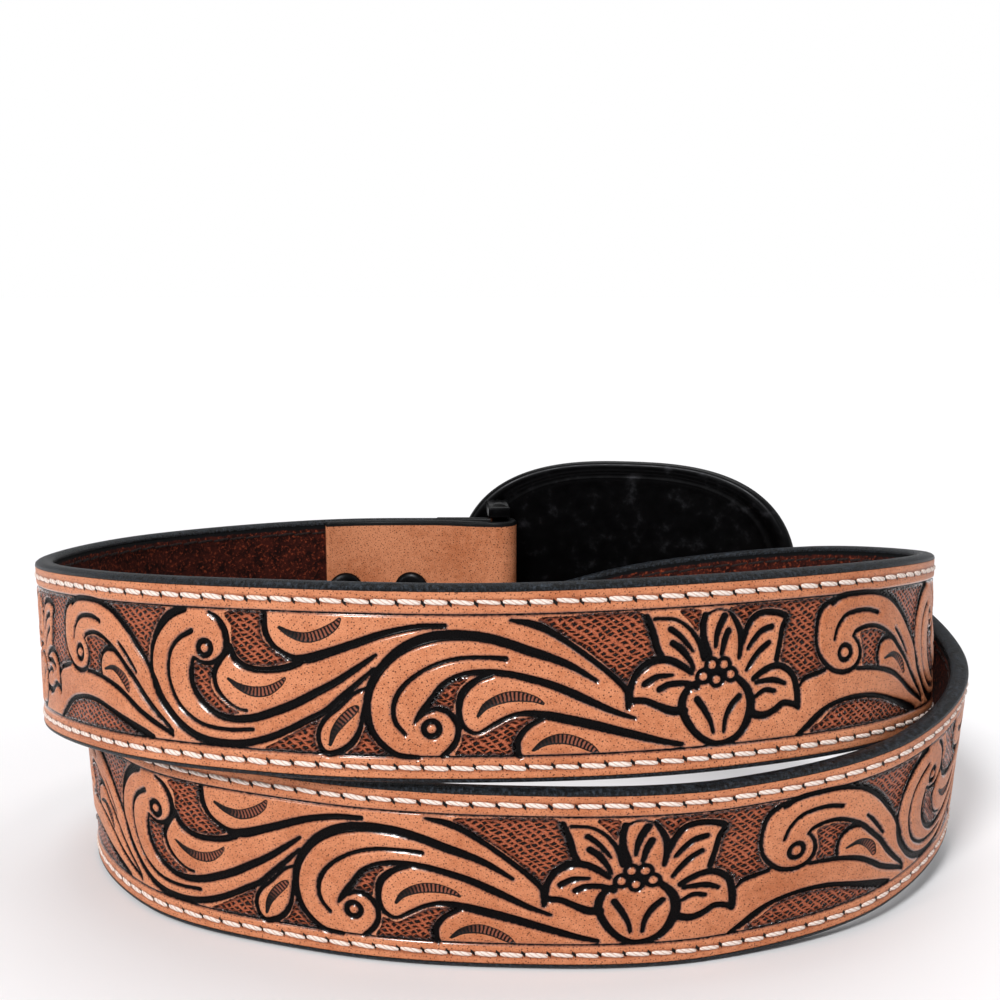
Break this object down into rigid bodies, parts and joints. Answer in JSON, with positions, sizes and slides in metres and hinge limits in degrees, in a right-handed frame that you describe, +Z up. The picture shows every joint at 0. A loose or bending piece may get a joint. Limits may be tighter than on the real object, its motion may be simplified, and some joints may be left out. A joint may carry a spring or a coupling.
{
  "type": "western belt, coiled",
  "caption": "Carved leather western belt with suede lining and plate buckle, coiled in turns and standing on its edge.",
  "frame": {"origin": "middle of the belt's foot, on the surface that it stands on", "axes": "+X along the coil's longer width, +Z up, -Y towards the viewer of the picture"},
  "size_m": [0.2142, 0.1772, 0.078],
  "materials": {
    "tooled_leather": "carved and antiqued tan leather, satin",
    "suede_lining": "dark reddish brown suede, matt",
    "edge_paint": "black edge paint, semi-gloss",
    "thread": "waxed cream thread",
    "dark_metal": "blackened metal, satin"
  },
  "bodies": {
    "root": {"tooled_strap": "tooled_leather", "strap_lining": "suede_lining", "buckle": "dark_metal", "fold_stud_1": "dark_metal", "fold_stud_2": "dark_metal"}
  },
  "joints": []
}
